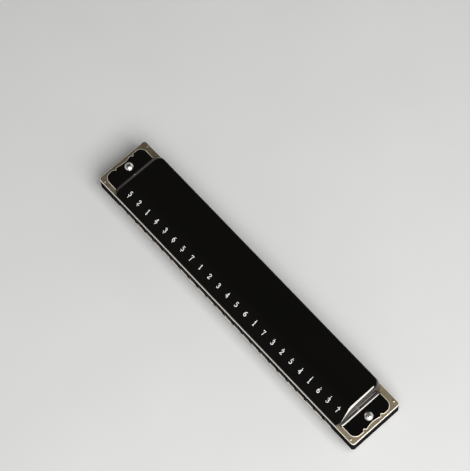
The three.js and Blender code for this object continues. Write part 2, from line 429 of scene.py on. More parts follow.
def round_head(radius, foot, rise, steps):
    """Profile points from above a head's rim to its top on the axis."""
    turns = [math.pi / 2 * step / steps for step in range(1, steps)]
    return [(radius * math.cos(turn), foot + rise * math.sin(turn)) for turn in turns] + [(0, foot + rise)]


def merge_flat_faces(mesh):
    work = bmesh.new()
    work.from_mesh(mesh)
    bmesh.ops.dissolve_limit(work, angle_limit=math.radians(FLAT_ANGLE), verts=work.verts, edges=work.edges)
    work.to_mesh(mesh)
    work.free()
    mesh.update()


def plate_from_outline(name, outline, low, high, edge_round):
    """A flat piece with rounded rims, whose second material is on the rims."""
    curve = bpy.data.curves.new(name, "CURVE")
    curve.dimensions = "2D"
    curve.fill_mode = "BOTH"
    spline = curve.splines.new("POLY")
    spline.points.add(len(outline) - 1)
    for point, (x, y) in zip(spline.points, outline):
        point.co = (x * MM, y * MM, 0, 1)
    spline.use_cyclic_u = True
    curve.extrude = ((high - low) / 2 - edge_round) * MM
    curve.bevel_depth = edge_round * MM
    curve.bevel_resolution = 1
    curve.offset = -edge_round * MM
    holder = bpy.data.objects.new(name, curve)
    bpy.context.scene.collection.objects.link(holder)
    mesh = evaluated_mesh(holder)
    bpy.data.objects.remove(holder)
    mesh.transform(Matrix.Translation((0, 0, (low + high) / 2 * MM)))
    clean(mesh, CURVE_WELD)
    merge_flat_faces(mesh)
    for polygon in mesh.polygons:
        heights = [mesh.vertices[i].co.z / MM for i in polygon.vertices]
        flat = max(heights) - min(heights) < FLAT_LIMIT
        polygon.material_index = int(not flat)
    return mesh


# Materials

class Shader:
    """A material with a Principled shader and short ways to add procedural detail."""

    def __init__(self, name, color, metallic, roughness):
        self.material = bpy.data.materials.new(name)
        self.material.use_nodes = True
        self.nodes = self.material.node_tree.nodes
        self.links = self.material.node_tree.links
        self.shader = self.nodes["Principled BSDF"]
        self.shader.inputs["Base Color"].default_value = (*color, 1)
        self.shader.inputs["Metallic"].default_value = metallic
        self.shader.inputs["Roughness"].default_value = roughness
        self.place = self.nodes.new("ShaderNodeTexCoord").outputs["Object"]
        self.height = None

    def stretched(self, scale):
        mapping = self.nodes.new("ShaderNodeMapping")
        mapping.inputs["Scale"].default_value = scale
        self.links.new(self.place, mapping.inputs["Vector"])
        return mapping.outputs["Vector"]

    def noise(self, size, detail=3.0, stretch=(1, 1, 1)):
        """Noise whose spots measure about size millimetres."""
        node = self.nodes.new("ShaderNodeTexNoise")
        node.inputs["Scale"].default_value = 1 / (size * MM)
        node.inputs["Detail"].default_value = detail
        self.links.new(self.stretched(stretch), node.inputs["Vector"])
        return node.outputs["Fac"]

    def range(self, value, low, high, start=NOISE_LOW, end=NOISE_HIGH):
        node = self.nodes.new("ShaderNodeMapRange")
        node.inputs["From Min"].default_value = start
        node.inputs["From Max"].default_value = end
        node.inputs["To Min"].default_value = low
        node.inputs["To Max"].default_value = high
        self.links.new(value, node.inputs["Value"])
        return node.outputs["Result"]

    def math(self, operation, first, second):
        node = self.nodes.new("ShaderNodeMath")
        node.operation = operation
        self.links.new(first, node.inputs[0])
        self.links.new(second, node.inputs[1])
        return node.outputs["Value"]

    def tint(self, value, colors, stops=None):
        ramp = self.nodes.new("ShaderNodeValToRGB")
        if stops is None:
            band = NOISE_HIGH - NOISE_LOW
            stops = [NOISE_LOW + band * i / (len(colors) - 1) for i in range(len(colors))]
        while len(ramp.color_ramp.elements) < len(colors):
            ramp.color_ramp.elements.new(1.0)
        for element, color, stop in zip(ramp.color_ramp.elements, colors, stops):
            element.position = stop
            element.color = (*color, 1)
        self.links.new(value, ramp.inputs["Fac"])
        self.links.new(ramp.outputs["Color"], self.shader.inputs["Base Color"])
        return self

    def rough(self, value, low, high):
        self.links.new(self.range(value, low, high), self.shader.inputs["Roughness"])
        return self

    def bump(self, value, strength, depth):
        node = self.nodes.new("ShaderNodeBump")
        node.inputs["Strength"].default_value = strength
        node.inputs["Distance"].default_value = depth * MM
        self.links.new(value, node.inputs["Height"])
        if self.height:
            self.links.new(self.height, node.inputs["Normal"])
        self.height = node.outputs["Normal"]
        self.links.new(self.height, self.shader.inputs["Normal"])
        return self


def make_cover_finish():
    made = Shader("black mirror plating", (0.14, 0.134, 0.126), 1.0, 0.06)
    clear = made.range(made.noise(25), 0.45, 0.55)
    dust = made.range(made.noise(0.5, 1), 0, 0.5, 0.74, 0.78)
    marks = made.math("ADD", clear, dust)
    colors = [(0.132, 0.126, 0.118), (0.15, 0.143, 0.135), (0.4, 0.39, 0.37)]
    made.tint(marks, colors, [0.4, 0.6, 1.0])
    made.rough(made.noise(9, 4), 0.04, 0.08)
    made.bump(made.noise(14, 1), 0.05, 0.03)
    return made.material


def make_plate_finish():
    made = Shader("satin brass plate", (0.28, 0.23, 0.15), 1.0, 0.5)
    made.tint(made.noise(0.3, 6), [(0.228, 0.186, 0.118), (0.272, 0.225, 0.146), (0.326, 0.273, 0.184)])
    made.rough(made.noise(5, 5), 0.4, 0.56)
    made.bump(made.noise(0.1, 3, (0.08, 1, 1)), 0.3, 0.02)
    return made.material


# Polished brass on the plates' rounded rims and cut walls, lighter than the satin faces; its near-white
# cream colour is also a painted highlight for the rims' glint
def make_plate_edge_highlight_finish():
    made = Shader("polished brass edge with painted highlight", (0.95, 0.91, 0.83), 0.5, 0.3)
    made.tint(made.noise(0.6, 4), [(0.92, 0.88, 0.79), (0.98, 0.95, 0.89)])
    made.rough(made.noise(0.4, 4), 0.24, 0.38)
    return made.material


def make_comb_finish():
    made = Shader("black moulded plastic", (0.012, 0.012, 0.013), 0.0, 0.5)
    made.shader.inputs["Specular IOR Level"].default_value = 0.0
    made.tint(made.noise(1.2, 5), [(0.01, 0.01, 0.011), (0.016, 0.016, 0.016)])
    made.bump(made.noise(0.4, 2), 0.2, 0.03)
    return made.material


def make_chamber_finish():
    made = Shader("glossy chamber wall", (0.01, 0.01, 0.01), 0.0, 0.12)
    made.shader.inputs["Specular IOR Level"].default_value = 1.0
    made.tint(made.noise(4), [(0.008, 0.008, 0.008), (0.014, 0.014, 0.014)])
    made.rough(made.noise(2, 3), 0.1, 0.2)
    return made.material


# Bare brass where the covers' plating is cut, at the sheet's edges, flange rims and bolt holes; its pale
# cream colour is also a painted highlight for the rims' glint
def make_bare_edge_highlight_finish():
    made = Shader("bare cut edge with painted highlight", (0.9, 0.84, 0.72), 0.3, 0.4)
    grain = made.noise(0.3, 3)
    made.tint(grain, [(0.84, 0.77, 0.64), (0.94, 0.89, 0.79)])
    made.rough(grain, 0.3, 0.5)
    return made.material


def make_reed_finish():
    made = Shader("rolled brass reed", (0.75, 0.55, 0.26), 1.0, 0.35)
    grain = made.noise(0.12, 3, (1, 0.04, 1))
    made.tint(grain, [(0.66, 0.47, 0.2), (0.84, 0.64, 0.33)])
    made.rough(grain, 0.28, 0.42)
    made.bump(grain, 0.3, 0.01)
    return made.material


def make_fastener_finish():
    made = Shader("nickel plated steel", (0.92, 0.9, 0.86), 1.0, 0.35)
    made.tint(made.noise(1.2), [(0.86, 0.82, 0.74), (0.96, 0.95, 0.92)])
    made.rough(made.noise(0.5, 4), 0.26, 0.42)
    made.bump(made.noise(0.35, 3), 0.25, 0.02)
    return made.material


# The recess is the same plated steel as the head, so its much darker colour is painted shade in the cross
# recess; its duller roughness is real
def make_recess_shade_finish():
    made = Shader("recess painted shade", (0.2, 0.19, 0.17), 1.0, 0.5)
    made.tint(made.noise(0.3), [(0.12, 0.11, 0.1), (0.28, 0.26, 0.23)])
    made.rough(made.noise(0.2), 0.4, 0.6)
    return made.material


def make_nail_finish():
    made = Shader("brass nail", (0.48, 0.41, 0.3), 1.0, 0.4)
    made.tint(made.noise(0.5), [(0.4, 0.34, 0.24), (0.56, 0.49, 0.37)])
    made.rough(made.noise(0.3, 3), 0.25, 0.45)
    return made.material


# Matte etched numbers, lighter than the mirror plating, coloured near white as a painted highlight for the
# light their etching catches; their tone varies at random
def make_number_highlight_finish():
    made = Shader("etched numbers with painted highlight", (0.9, 0.9, 0.88), 0.0, 0.5)
    made.tint(made.noise(0.7, 2), [(0.6, 0.6, 0.58), (0.84, 0.84, 0.82), (0.95, 0.95, 0.93)])
    made.bump(made.noise(0.08, 2), 0.4, 0.01)
    return made.material


cover_finish = make_cover_finish()
plate_finish = make_plate_finish()
comb_finish = make_comb_finish()
chamber_finish = make_chamber_finish()
recess_shade_finish = make_recess_shade_finish()
reed_finish = make_reed_finish()
fastener_finish = make_fastener_finish()
number_highlight_finish = make_number_highlight_finish()
bare_edge_highlight_finish = make_bare_edge_highlight_finish()
plate_edge_highlight_finish = make_plate_edge_highlight_finish()
nail_finish = make_nail_finish()


# Placing on either half

def half_matrix(half):
    """From heights above a plate's outer face to the object's, turned over for the lower half."""
    if half == "upper":
        return Matrix.Translation((0, 0, PLATE_TOP * MM))
    return Matrix.Translation((0, 0, (2 * MIDDLE_Z - PLATE_TOP) * MM)) @ Matrix.Scale(-1, 4, (0, 0, 1))


def stand(obj, half, nodes=(), body=MAIN_BODY):
    """Puts a piece made above the upper plate's outer face in its place, on its body."""
    obj.data.transform(half_matrix(half))
    if half == "lower":
        obj.data.flip_normals()
    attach(obj, body)
    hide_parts(*nodes)


# Cover profile in Y and height

def brow_line():
    """The curve over a cover's mouth side, from its lip up to its crown."""
    lip = -HALF_WIDTH + FRONT_INSET + LIP_LEAN
    crown = -HALF_WIDTH + CROWN_FRONT
    run = crown - lip
    climb = COVER_RISE - LIP_HEIGHT
    (low_along, low_up), (high_along, high_up) = BROW_SHARES
    a = Vector((lip, LIP_HEIGHT))
    b = Vector((lip + low_along * run, LIP_HEIGHT + low_up * climb))
    c = Vector((lip + high_along * run, LIP_HEIGHT + high_up * climb))
    d = Vector((crown, COVER_RISE))
    points = []
    for step in range(BROW_STEPS + 1):
        t = step / BROW_STEPS
        s = 1 - t
        points.append(a * s ** 3 + b * 3 * s * s * t + c * 3 * s * t * t + d * t ** 3)
    return points


BROW = brow_line()
SEAMS = (FLANGE_SHIFT - FLANGE_HALF_WIDTH, FLANGE_SHIFT + FLANGE_HALF_WIDTH)


def top_height(y):
    """Height of a cover's outer face at a place between its lip and its rear corner."""
    crown = BROW[-1].x
    fall = HALF_WIDTH - CROWN_REAR
    if y > fall:
        rear = HALF_WIDTH - REAR_INSET
        return COVER_RISE - REAR_FALL * (y - fall) / (rear - fall)
    if y >= crown:
        return COVER_RISE
    for before, after in zip(BROW, BROW[1:]):
        if y <= after.x:
            share = (y - before.x) / (after.x - before.x)
            return before.y + share * (after.y - before.y)
    return COVER_RISE


def outer_profile():
    """The outer face's places and heights, from the front foot over the top to the hem at the back."""
    foot = Vector((-HALF_WIDTH + FRONT_INSET, 0))
    lip = BROW[0]
    crown = BROW[-1].x
    under_lip = lip + (foot - lip).normalized() * LIP_ROUND
    over_lip = next(point for point in BROW if (point - lip).length > LIP_ROUND)
    points = [foot, foot.lerp(under_lip, 0.5)]
    points += rounded_corner(under_lip, lip, over_lip, EDGE_STEPS)
    front_seam, back_seam = SEAMS
    places = [crown, HALF_WIDTH - CROWN_REAR, *FLAT_ROWS]
    y = over_lip.x + ROW_START
    while y < crown - ROW_GAP:
        if abs(y - front_seam) > ROW_GAP:
            places.append(y)
        y += ROW_STEP
    for share in (0, RIM_MIDDLE_SHARE, 1):
        rim = share * FLANGE_EDGE_ROUND
        places += [front_seam + rim, back_seam - rim]
    points += [Vector((place, top_height(place))) for place in sorted(places)]
    rear = HALF_WIDTH - REAR_INSET
    corner = Vector((rear, top_height(rear)))
    level = Vector((rear - REAR_ROUND, top_height(rear - REAR_ROUND)))
    points += rounded_corner(level, corner, corner - Vector((0, REAR_ROUND)), EDGE_STEPS)
    points.append(corner - Vector((0, HEM_DROP)))
    return points


def offset_profile(points, distance):
    """The profile moved inwards, with its foot kept on the plate and its hem kept level."""
    moved = []
    for i, point in enumerate(points):
        before = points[max(i - 1, 0)]
        after = points[min(i + 1, len(points) - 1)]
        along = (after - before).normalized()
        moved.append(point + Vector((along.y, -along.x)) * distance)
    slide = moved[1] - moved[0]
    moved[0] = moved[0] - slide * (moved[0].y / slide.y)
    moved[-1].y = points[-1].y
    return moved


# Shell of a cover

def wall_foot(y):
    """Where the end wall's outer face meets the plate, in from the end at the cut corners."""
    start, slope = (FRONT_CUT_START, FRONT_CUT_SLOPE) if y < 0 else (BACK_CUT_START, BACK_CUT_SLOPE)
    soft = CORNER_SOFTNESS * math.log1p(math.exp((abs(y) - start) / CORNER_SOFTNESS))
    return HALF_LENGTH - WALL_BASE - soft * slope


def rim_drop(y):
    """How far the flange's rounded rim lies under its top at a place across the cover."""
    inside = FLANGE_HALF_WIDTH - abs(y - FLANGE_SHIFT)
    share = min(max(inside / FLANGE_EDGE_ROUND, 0), 1)
    middle = RIM_MIDDLE_SHARE
    if share < middle:
        return FLANGE_EDGE_ROUND * (1 - share * (1 - middle) / middle)
    return FLANGE_EDGE_ROUND * middle * (1 - share) / (1 - middle)


def half_section(y, height, inset, bent):
    """Points in X and height from the flat top, over the shoulder and down the end wall.

    Where it is bent, the wall's foot curves out onto the flange.
    """
    sine = math.sin(WALL_ANGLE)
    cosine = math.cos(WALL_ANGLE)
    foot = wall_foot(y) - inset / cosine
    radius = min(SHOULDER_RADIUS, LOW_SHOULDER_SHARE * (height + inset)) - inset
    radius = max(radius, LEAST_SHOULDER_SHARE * min(height, LIP_HEIGHT))
    centre_x = foot - (radius + (height - radius) * sine) / cosine
    points = []
    for step in range(SHOULDER_STEPS + 1):
        angle = (math.pi / 2 - WALL_ANGLE) * step / SHOULDER_STEPS
        points.append((centre_x + radius * math.sin(angle), height - radius + radius * math.cos(angle)))
    start = points[-1][1]
    bend_z = SHEET + BEND_RADIUS - rim_drop(y)
    bend_x = wall_foot(y) + (BEND_RADIUS - bend_z * sine) / cosine
    lower = min(bend_z - BEND_RADIUS * sine, start)
    for step in range(1, WALL_STEPS + 1):
        z = start + (lower - start) * step / WALL_STEPS
        points.append((foot - z * WALL_SLOPE, z))
    for step in range(1, BEND_STEPS + 1):
        share = step / BEND_STEPS
        if bent:
            angle = WALL_ANGLE + (math.pi / 2 - WALL_ANGLE) * share
            points.append((bend_x - BEND_RADIUS * math.cos(angle), bend_z - BEND_RADIUS * math.sin(angle)))
        else:
            z = lower * (1 - share)
            points.append((foot - z * WALL_SLOPE, z))
    if bent:
        x, z = points[-1]
        points[-1] = (x, z - BEND_SINK)
    return points


def full_row(y, height, inset, bent):
    """One row of points across the whole length of a cover."""
    half = half_section(y, height, inset, bent)
    left = [(-x, y, z) for x, z in reversed(half)]
    right = [(x, y, z) for x, z in half]
    return left + right


def shell_mesh(name):
    """Outer and inner skin of the sheet, joined along all its edges, with a second material there."""
    outer = outer_profile()
    inner = offset_profile(outer, SHEET)
    skins = [[], []]
    for out, into in zip(outer, inner):
        bent = abs(out.x - FLANGE_SHIFT) < FLANGE_HALF_WIDTH + FLAT_LIMIT
        skins[0].append(full_row(out.x, out.y, 0, bent))
        skins[1].append(full_row(into.x, into.y, SHEET, False))
    count = len(outer)
    width = len(skins[0][0])
    points = [point for skin in skins for row in skin for point in row]

    def at(skin, row, column):
        return (skin * count + row) * width + column

    faces = []
    for row in range(count - 1):
        for column in range(width - 1):
            quad = [(row, column), (row, column + 1), (row + 1, column + 1), (row + 1, column)]
            faces.append([at(0, *corner) for corner in quad])
            faces.append([at(1, *corner) for corner in reversed(quad)])
    skin_faces = len(faces)
    edges = [((row, column), (row + 1, column)) for row in range(count - 1) for column in (0, width - 1)]
    edges += [((row, column), (row, column + 1)) for row in (0, count - 1) for column in range(width - 1)]
    for start, end in edges:
        faces.append([at(0, *start), at(0, *end), at(1, *end), at(1, *start)])
    mesh = mesh_from(name, points, faces)
    for polygon in mesh.polygons:
        polygon.material_index = int(polygon.index >= skin_faces)
    clean(mesh)
    return mesh


# Flanges and the whole cover

def flange_outline(side):
    """A bracket shape: from the end wall round a lobe, past a cusp and along a bow, then mirrored."""
    edge = HALF_LENGTH - FLANGE_MARGIN
    lobe_x = edge - LOBE_RADIUS
    lobe_y = FLANGE_HALF_WIDTH - LOBE_RADIUS
    half = [(HALF_LENGTH - WALL_BASE - FLANGE_OVERLAP, FLANGE_HALF_WIDTH)]
    for step in range(LOBE_STEPS + 1):
        angle = math.pi / 2 * (1 - step / LOBE_STEPS)
        half.append((lobe_x + LOBE_RADIUS * math.cos(angle), lobe_y + LOBE_RADIUS * math.sin(angle)))
    high = Vector((edge, CUSP_FROM_MIDDLE + CUSP_HALF_GAP))
    tip = Vector((edge - CUSP_DEPTH, CUSP_FROM_MIDDLE))
    low = Vector((edge, CUSP_FROM_MIDDLE - CUSP_HALF_GAP))
    lobe_end = high + Vector((0, CUSP_SOFTENING))
    bow_start = low - Vector((BOW_LEAN, CUSP_SOFTENING))
    tip_start = high.lerp(tip, CUSP_TIP_SHARE)
    tip_end = low.lerp(tip, CUSP_TIP_SHARE)
    cusp = rounded_corner(lobe_end, high, high.lerp(tip, 0.5), CUSP_STEPS)
    cusp += rounded_corner(tip_start, tip, tip_end, CUSP_TIP_STEPS)
    cusp += rounded_corner(low.lerp(tip, CUSP_FOOT_SHARE), low, bow_start, CUSP_STEPS)
    half += [tuple(point) for point in cusp]
    for step in range(1, BOW_STEPS):
        along = step / BOW_STEPS
        depth = BOW_LEAN + (BOW_DEPTH - BOW_LEAN) * math.sin(math.pi / 2 * along)
        half.append((edge - depth, bow_start.y * (1 - along)))
    outline = half + [(edge - BOW_DEPTH, 0)] + [(x, -y) for x, y in reversed(half)]
    outline = [(side * x, y + FLANGE_SHIFT) for x, y in outline]
    return outline[::-1] if side > 0 else outline


def bolt_holes(low, high):
    """Bodies to cut where the two bolts pass."""
    outlines = [circle(side * BOLT_X, 0, BOLT_HOLE_RADIUS, BOLT_HOLE_SIDES) for side in (-1, 1)]
    return [prism(outline, low, high) for outline in outlines]


def cover_shell(name):
    """The bent sheet with a flange at each end and a hole in each flange."""
    shell = new_object(name, shell_mesh(name), [cover_finish, bare_edge_highlight_finish])
    for side in (-1, 1):
        mesh = plate_from_outline("flange", flange_outline(side), 0, SHEET, FLANGE_EDGE_ROUND)
        boolean(shell, new_object("flange", mesh, [cover_finish, bare_edge_highlight_finish]), "UNION")
    boolean(shell, solid("holes", merged(bolt_holes(-SHEET, 2 * SHEET)), bare_edge_highlight_finish), "DIFFERENCE")
    return shell


def make_cover(half):
    shell = cover_shell(half + "_cover_shell")
    clean(shell.data, CUT_WELD)
    smooth(shell.data, METAL_SMOOTHING)
    apply_modifiers(shell, steady_normals)
    stand(shell, half, [half + "_cover"])


# Numbers, each digit a few strokes of points across, up and half width, as shares of the digit's height

DIGIT_STROKES = {
    1: (
        ((0.02, 0.03, 0.06), (0.02, 0.98, 0.06)),
        ((-0.17, 0.8, 0.03), (0.0, 0.93, 0.04)),
        ((-0.17, 0.03, 0.035), (0.21, 0.03, 0.035)),
    ),
    2: (
        ((-0.22, 0.72, 0.06), (-0.19, 0.88, 0.05), (0.0, 0.97, 0.045), (0.2, 0.86, 0.06),
         (0.2, 0.66, 0.065), (0.0, 0.36, 0.05), (-0.22, 0.08, 0.04)),
        ((-0.24, 0.05, 0.05), (0.25, 0.05, 0.05)),
        ((0.26, 0.05, 0.04), (0.28, 0.2, 0.03)),
    ),
    3: (
        ((-0.21, 0.82, 0.055), (-0.03, 0.97, 0.045), (0.18, 0.86, 0.06), (0.17, 0.65, 0.06),
         (-0.04, 0.53, 0.035)),
        ((-0.04, 0.53, 0.035), (0.2, 0.44, 0.06), (0.22, 0.18, 0.065), (0.0, 0.03, 0.045),
         (-0.23, 0.14, 0.06)),
    ),
    4: (
        ((0.1, 0.97, 0.035), (-0.28, 0.3, 0.035)),
        ((-0.28, 0.29, 0.04), (0.29, 0.29, 0.04)),
        ((0.12, 0.03, 0.06), (0.12, 0.97, 0.06)),
        ((-0.01, 0.03, 0.035), (0.25, 0.03, 0.035)),
    ),
    5: (
        ((-0.14, 0.95, 0.055), (0.22, 0.95, 0.05)),
        ((-0.14, 0.95, 0.035), (-0.18, 0.55, 0.03)),
        ((-0.18, 0.55, 0.03), (0.03, 0.62, 0.045), (0.23, 0.46, 0.06), (0.21, 0.18, 0.065),
         (-0.01, 0.03, 0.045), (-0.23, 0.14, 0.06)),
    ),
    6: (
        ((0.21, 0.93, 0.04), (-0.03, 0.84, 0.05), (-0.22, 0.52, 0.06), (-0.21, 0.2, 0.06),
         (0.0, 0.03, 0.045), (0.21, 0.18, 0.06), (0.2, 0.45, 0.06), (0.0, 0.57, 0.04), (-0.18, 0.44, 0.04)),
    ),
    7: (
        ((-0.24, 0.93, 0.055), (0.25, 0.93, 0.05)),
        ((-0.25, 0.93, 0.04), (-0.26, 0.78, 0.03)),
        ((0.24, 0.92, 0.04), (0.06, 0.5, 0.05), (-0.02, 0.03, 0.065)),
    ),
}


def between(before, start, end, after, t):
    """A value on a smooth curve from start to end, which also heeds their neighbours."""
    slope = (end - before) * t
    bend = (2 * before - 5 * start + 4 * end - after) * t * t
    twist = (3 * start - before - 3 * end + after) * t ** 3
    return (2 * start + slope + bend + twist) / 2


def smooth_stroke(stroke):
    """Points along a curve through the stroke's points."""
    ends = [stroke[0], *stroke, stroke[-1]]
    points = []
    for neighbours in zip(ends, ends[1:], ends[2:], ends[3:]):
        for step in range(STROKE_STEPS):
            points.append(tuple(between(*values, step / STROKE_STEPS) for values in zip(*neighbours)))
    points.append(stroke[-1])
    return points


def stroke_sides(points):
    """Pairs of points left and right of a stroke, drawn together into a blunt tip at each end."""
    pairs = []
    last = len(points) - 1
    for i, (x, y, half) in enumerate(points):
        before = points[max(i - 1, 0)]
        after = points[min(i + 1, last)]
        along = Vector((after[0] - before[0], after[1] - before[1])).normalized()
        across = Vector((-along.y, along.x))
        middle = Vector((x, y))
        bold = half * STROKE_BOLDNESS
        if i == 0:
            tip = middle - along * bold * STROKE_TIP_SHARE
            pairs.append((tip + across * bold / 2, tip - across * bold / 2))
        pairs.append((middle + across * bold, middle - across * bold))
        if i == last:
            tip = middle + along * bold * STROKE_TIP_SHARE
            pairs.append((tip + across * bold / 2, tip - across * bold / 2))
    return pairs


def dot_sides(y):
    """A round dot as a stroke that is as wide as it is long."""
    pairs = []
    for section in range(DOT_SECTIONS):
        angle = math.pi * (section + 0.5) / DOT_SECTIONS
        across = Vector((0, DOT_RADIUS * math.sin(angle)))
        middle = Vector((-DOT_RADIUS * math.cos(angle), y))
        pairs.append((middle + across, middle - across))
    return pairs


def number_strokes(digit, octave):
    """Strokes of a digit and its octave dots, in millimetres round the digit's middle."""
    middle = Vector((0, 0.5))
    strokes = []
    for stroke in DIGIT_STROKES[digit]:
        pairs = stroke_sides(smooth_stroke(stroke))
        strokes.append([((a - middle) * DIGIT_HEIGHT, (b - middle) * DIGIT_HEIGHT) for a, b in pairs])
    for dot in range(abs(octave)):
        strokes.append(dot_sides(math.copysign(DIGIT_HEIGHT / 2 + DOT_GAP + dot * DOT_STEP, octave)))
    return strokes


def print_stroke(pairs, place, layer):
    """A thin closed body that follows the cover's outer face."""
    points = []
    for a, b in pairs:
        for rise in (PRINT_THICKNESS + layer * PRINT_LAYER, -PRINT_ROOT):
            for point in (a + place, b + place):
                points.append((point.x, point.y, top_height(point.y) + rise))
    faces = []
    for i in range(0, len(points) - 4, 4):
        for a, b in ((0, 1), (1, 3), (3, 2), (2, 0)):
            faces.append([i + a, i + b, i + 4 + b, i + 4 + a])
    faces.append([0, 2, 3, 1])
    end = len(points) - 4
    faces.append([end, end + 1, end + 3, end + 2])
    return points, faces


def make_numbers():
    parts = []
    for column, (digit, octave) in enumerate(NUMBERS):
        place = Vector(((column - (COLUMNS - 1) / 2) * PITCH + NUMBER_SHIFT, NUMBER_ROW_Y))
        for layer, pairs in enumerate(number_strokes(digit, octave)):
            parts.append(print_stroke(pairs, place, layer))
    numbers = solid("note_numbers", merged(parts), number_highlight_finish)
    clean(numbers.data)
    smooth(numbers.data, PRINT_SMOOTHING)
    stand(numbers, "upper")


# Plates

def body_outline():
    """The rounded rectangle that the plates and the comb share."""
    points = []
    for side_x, side_y, start in ((1, -1, -90), (1, 1, 0), (-1, 1, 90), (-1, -1, 180)):
        for step in range(PLATE_CORNER_STEPS + 1):
            angle = math.radians(start + 90 * step / PLATE_CORNER_STEPS)
            x = side_x * (HALF_LENGTH - PLATE_CORNER_RADIUS) + PLATE_CORNER_RADIUS * math.cos(angle)
            y = side_y * (HALF_WIDTH - PLATE_CORNER_RADIUS) + PLATE_CORNER_RADIUS * math.sin(angle)
            points.append((x, y))
    return points


class Reed:
    """What a reed's node gives: its place, its length and the way it points."""

    def __init__(self, name):
        low, high = (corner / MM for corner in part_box(name))
        self.name = name
        self.half = name.split("_")[0]
        self.draws = "_draw_" in name
        self.number = int(name.split("_")[-1])
        self.x = (low.x + high.x) / 2
        self.pad_width = high.x - low.x
        self.tongue_width = self.pad_width - 2 * PAD_SHOULDER
        self.to_tip = 1 if self.draws else -1
        self.root = low.y + PAD_LENGTH if self.draws else high.y - PAD_LENGTH
        self.length = high.y - low.y - PAD_LENGTH
        self.weighted = self.number <= WEIGHTED_COLUMNS
        self.rivet_y = self.root - self.to_tip * PAD_LENGTH / 2


reeds = [Reed(name) for name in sorted(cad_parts) if "_reed_" in name and name[-1].isdigit()]


def plate_openings(half):
    """Outlines of the slots and of the rivet holes in one plate."""
    outlines = []
    for reed in reeds:
        if reed.half != half:
            continue
        reach = reed.tongue_width / 2 + SLOT_CLEARANCE
        tip = reed.root + reed.to_tip * (reed.length + SLOT_CLEARANCE)
        front = min(reed.root, tip)
        back = max(reed.root, tip)
        outlines.append([
            (reed.x - reach, front), (reed.x + reach, front), (reed.x + reach, back), (reed.x - reach, back),
        ])
        outlines.append(circle(reed.x, reed.rivet_y, RIVET_RADIUS + RIVET_CLEARANCE, RIVET_HOLE_SIDES))
    return outlines


def make_plate(half):
    name = half + "_plate"
    mesh = plate_from_outline(name, body_outline(), -PLATE_THICKNESS, 0, PLATE_EDGE_ROUND)
    plate = new_object(name, mesh, [plate_finish, plate_edge_highlight_finish])
    low = -2 * PLATE_THICKNESS
    high = PLATE_THICKNESS
    openings = [prism(outline, low, high) for outline in plate_openings(half)]
    openings += bolt_holes(low, high)
    boolean(plate, solid("openings", merged(openings), plate_edge_highlight_finish), "DIFFERENCE")
    smooth(plate.data, BLOCK_SMOOTHING)
    apply_modifiers(plate, steady_normals)
    stand(plate, half, [half + "_reed_plate"])


# Reeds

def swept_bar(stations, width, edge):
    """A bar along Y through stations of place and thickness, with its long edges taken off."""
    side = width / 2
    inner = side - edge
    points = []
    for y, top in stations:
        points += [
            (-inner, y, 0), (inner, y, 0), (side, y, edge), (side, y, top - edge),
            (inner, y, top), (-inner, y, top), (-side, y, top - edge), (-side, y, edge),
        ]
    around = len(points) // len(stations)
    last = len(points) - around
    faces = []
    for start in range(0, last, around):
        for i in range(around):
            a = start + i
            b = start + (i + 1) % around
            faces.append([a, a + around, b + around, b])
    faces.append(list(range(around)))
    faces.append([last + i for i in range(around)][::-1])
    return points, faces


def reed_tongue(reed):
    """A tongue that is thinned after its root, with a weight at the tip of a low reed."""
    length = reed.length
    stations = [(-TONGUE_UNDER_PAD, REED_THICKNESS)]
    stations += [(along * length, share * REED_THICKNESS) for along, share in TONGUE_SHAPE]
    if reed.weighted:
        start = length * (1 - TIP_WEIGHT_SHARE)
        top = REED_THICKNESS + TIP_WEIGHT
        stations += [(start - TIP_WEIGHT, REED_WAIST_SHARE * REED_THICKNESS), (start, top), (length, top)]
    else:
        stations += [(along * length, share * REED_THICKNESS) for along, share in TONGUE_TIP]
    return swept_bar(stations, reed.tongue_width, REED_EDGE)


def reed_pad(reed):
    stations = [(-PAD_LENGTH, PAD_THICKNESS), (-PAD_SHOULDER, PAD_THICKNESS)]
    return swept_bar(stations, reed.pad_width, PAD_EDGE)


def rivet():
    """A rivet through the middle of a reed's pad, with its tail in the plate."""
    tail = REED_LIFT + PLATE_THICKNESS
    seat = PAD_THICKNESS / 2
    rim = PAD_THICKNESS + RIVET_RIM
    profile = [
        (0, -tail),
        (RIVET_RADIUS - RIVET_TAIL_EDGE, -tail),
        (RIVET_RADIUS, -tail + RIVET_TAIL_EDGE),
        (RIVET_RADIUS, seat),
        (RIVET_HEAD_RADIUS, seat),
        (RIVET_HEAD_RADIUS, rim),
    ]
    profile += round_head(RIVET_HEAD_RADIUS, rim, RIVET_HEAD_HEIGHT - RIVET_RIM, RIVET_STEPS)
    points, faces = lathe(profile, RIVET_SIDES)
    return [(x, y - PAD_LENGTH / 2, z) for x, y, z in points], faces


def make_reed(reed):
    brass = solid(reed.name + "_brass", merged([reed_tongue(reed), reed_pad(reed), rivet()]), reed_finish)
    clean(brass.data)
    smooth(brass.data, METAL_SMOOTHING)
    lift = REED_LIFT if reed.draws else -PLATE_THICKNESS - REED_LIFT
    turn = Matrix.Identity(4) if reed.draws else Matrix.Rotation(math.pi, 4, "X")
    brass.data.transform(Matrix.Translation((reed.x * MM, reed.root * MM, lift * MM)) @ turn)
    stand(brass, reed.half, [reed.name], reed.name)


# Fasteners

def thread_depth(angle, z):
    phase = (z / THREAD_PITCH - angle / (2 * math.pi)) % 1
    return THREAD_DEPTH * (1 - abs(2 * phase - 1))


